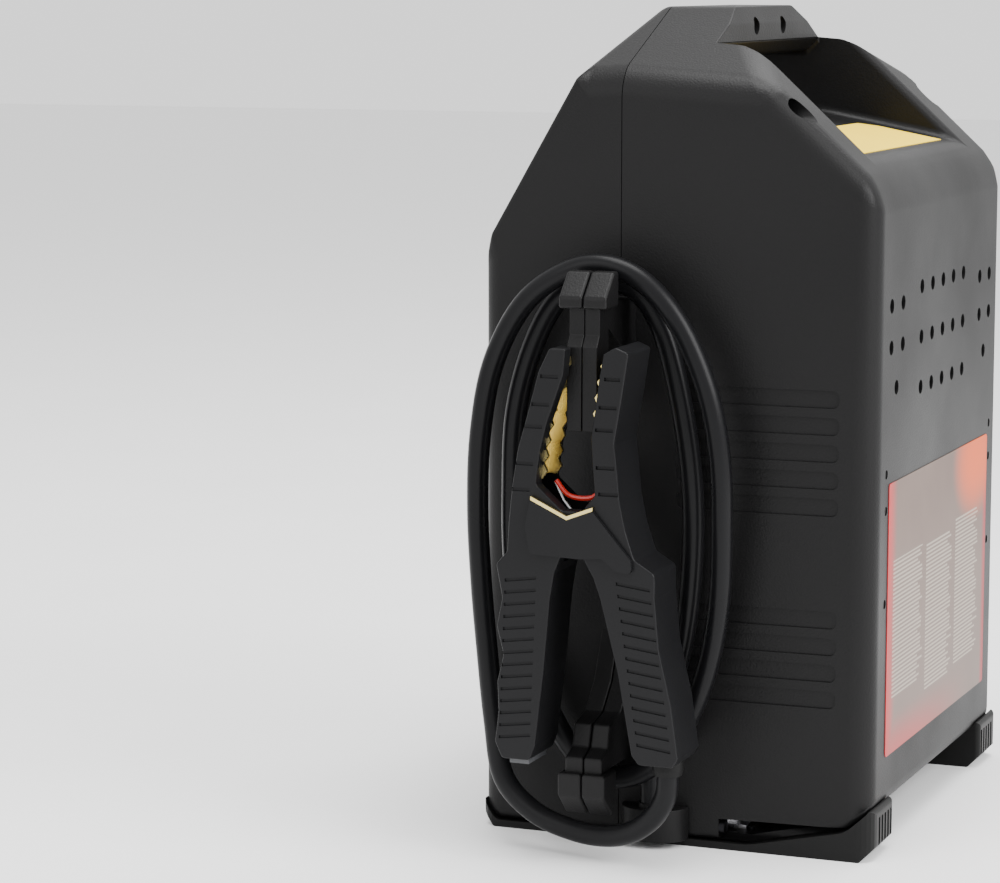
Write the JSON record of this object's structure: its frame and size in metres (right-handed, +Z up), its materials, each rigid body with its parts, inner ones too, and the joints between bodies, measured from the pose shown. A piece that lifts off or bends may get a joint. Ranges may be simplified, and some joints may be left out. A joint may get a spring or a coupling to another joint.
{
  "type": "jump starter pack",
  "caption": "Portable battery pack for starting vehicles, in a moulded case with a carry handle, vents, cable cleats, a control panel, and a booster cable with a parked clamp",
  "frame": {"origin": "middle of the footprint on the floor, under the case", "axes": "+Z up; +Y towards the rear face with the vents and the instruction label; +X towards the end that carries the booster cable and its clamp"},
  "size_m": [0.4145, 0.231, 0.458],
  "materials": {
    "front_shell": "moulded",
    "rear_shell": "moulded",
    "front_cleats": "moulded",
    "rear_cleats": "moulded",
    "gland_hoods": "moulded",
    "foot_near": "moulded",
    "foot_far": "moulded",
    "foot_screws": "plain",
    "shell_screws": "plain",
    "trim_screws": "moulded",
    "instruction_label": "moulded",
    "recess_label": "moulded",
    "cable_gland": "moulded",
    "spare_gland": "moulded",
    "black_cable": "moulded",
    "clamp_fixed_arm": "moulded",
    "clamp_moving_arm": "moulded",
    "clamp_fixed_jaw": "plain",
    "clamp_moving_jaw": "plain",
    "clamp_pivot_pin": "plain",
    "clamp_spring": "plain",
    "clamp_cover": "moulded",
    "clamp_bond_strip": "plain",
    "clamp_bond_wire": "moulded",
    "clamp_collar": "moulded",
    "clamp_end_cap": "moulded",
    "panel_plate": "moulded",
    "panel_screws": "plain",
    "meter_body": "moulded",
    "meter_lens": "plain",
    "level_lamps": "moulded",
    "charge_inlet": "moulded",
    "switch_body": "moulded",
    "switch_shaft": "plain",
    "switch_knob": "moulded",
    "test_bezel": "plain",
    "test_button": "moulded",
    "reset_bezel": "moulded",
    "reset_button": "moulded",
    "socket_barrels": "moulded",
    "socket_contacts": "plain",
    "cap_brackets": "moulded",
    "cap_pins": "plain",
    "socket_cap_left": "moulded",
    "socket_cap_right": "moulded",
    "control_board": "moulded",
    "board_spacers": "plain",
    "battery_case": "moulded",
    "battery_lid": "moulded",
    "battery_posts": "plain",
    "battery_pads": "moulded",
    "hold_down_strap": "plain",
    "strap_bolts": "plain",
    "lead_lugs": "plain",
    "negative_lead": "moulded",
    "positive_lead": "moulded",
    "fuse_carrier": "moulded",
    "main_fuse": "moulded"
  },
  "bodies": {
    "case": {"front_shell": "front_shell", "rear_shell": "rear_shell", "front_cleats": "front_cleats", "rear_cleats": "rear_cleats", "gland_hoods": "gland_hoods", "foot_near": "foot_near", "foot_far": "foot_far", "foot_screws": "foot_screws", "shell_screws": "shell_screws", "trim_screws": "trim_screws", "instruction_label": "instruction_label", "recess_label": "recess_label", "cable_gland": "cable_gland", "spare_gland": "spare_gland", "black_cable": "black_cable", "clamp_fixed_arm": "clamp_fixed_arm", "clamp_fixed_jaw": "clamp_fixed_jaw", "clamp_pivot_pin": "clamp_pivot_pin", "clamp_spring": "clamp_spring", "clamp_cover": "clamp_cover", "clamp_bond_strip": "clamp_bond_strip", "clamp_bond_wire": "clamp_bond_wire", "clamp_collar": "clamp_collar", "panel_plate": "panel_plate", "panel_screws": "panel_screws", "meter_body": "meter_body", "meter_lens": "meter_lens", "level_lamps": "level_lamps", "charge_inlet": "charge_inlet", "switch_body": "switch_body", "test_bezel": "test_bezel", "reset_bezel": "reset_bezel", "socket_barrels": "socket_barrels", "socket_contacts": "socket_contacts", "cap_brackets": "cap_brackets", "cap_pins": "cap_pins", "control_board": "control_board", "board_spacers": "board_spacers", "battery_case": "battery_case", "battery_lid": "battery_lid", "battery_posts": "battery_posts", "battery_pads": "battery_pads", "hold_down_strap": "hold_down_strap", "strap_bolts": "strap_bolts", "lead_lugs": "lead_lugs", "negative_lead": "negative_lead", "positive_lead": "positive_lead", "fuse_carrier": "fuse_carrier", "main_fuse": "main_fuse"},
    "clamp_lever": {"clamp_moving_arm": "clamp_moving_arm", "clamp_moving_jaw": "clamp_moving_jaw", "clamp_end_cap": "clamp_end_cap"},
    "switch": {"switch_knob": "switch_knob", "switch_shaft": "switch_shaft"},
    "test_push": {"test_button": "test_button"},
    "reset_push": {"reset_button": "reset_button"},
    "cap_left": {"socket_cap_left": "socket_cap_left"},
    "cap_right": {"socket_cap_right": "socket_cap_right"}
  },
  "joints": [
    {"name": "clamp_squeeze", "type": "hinge", "parent": "case", "child": "clamp_lever", "pos_m": [0.194, -0.03, 0.184], "axis": [1, 0, 0], "range_deg": [0, 5], "stiffness_Nm_per_rad": 10, "springref_deg": -17.19},
    {"name": "main_switch", "type": "hinge", "parent": "case", "child": "switch", "pos_m": [-0.048, -0.1, 0.259], "axis": [0, -1, 0], "range_deg": [0, 90]},
    {"name": "test_press", "type": "slide", "parent": "case", "child": "test_push", "axis": [0, 1, 0], "range_m": [0, 0.0025], "stiffness_N_per_m": 900, "springref_m": -0.001},
    {"name": "reset_press", "type": "slide", "parent": "case", "child": "reset_push", "axis": [0, 1, 0], "range_m": [0, 0.0025], "stiffness_N_per_m": 900, "springref_m": -0.001},
    {"name": "left_cap_lift", "type": "hinge", "parent": "case", "child": "cap_left", "pos_m": [-0.048, -0.1024, 0.2145], "axis": [-1, 0, 0], "range_deg": [0, 95]},
    {"name": "right_cap_lift", "type": "hinge", "parent": "case", "child": "cap_right", "pos_m": [0.048, -0.1024, 0.2145], "axis": [-1, 0, 0], "range_deg": [0, 95]}
  ]
}
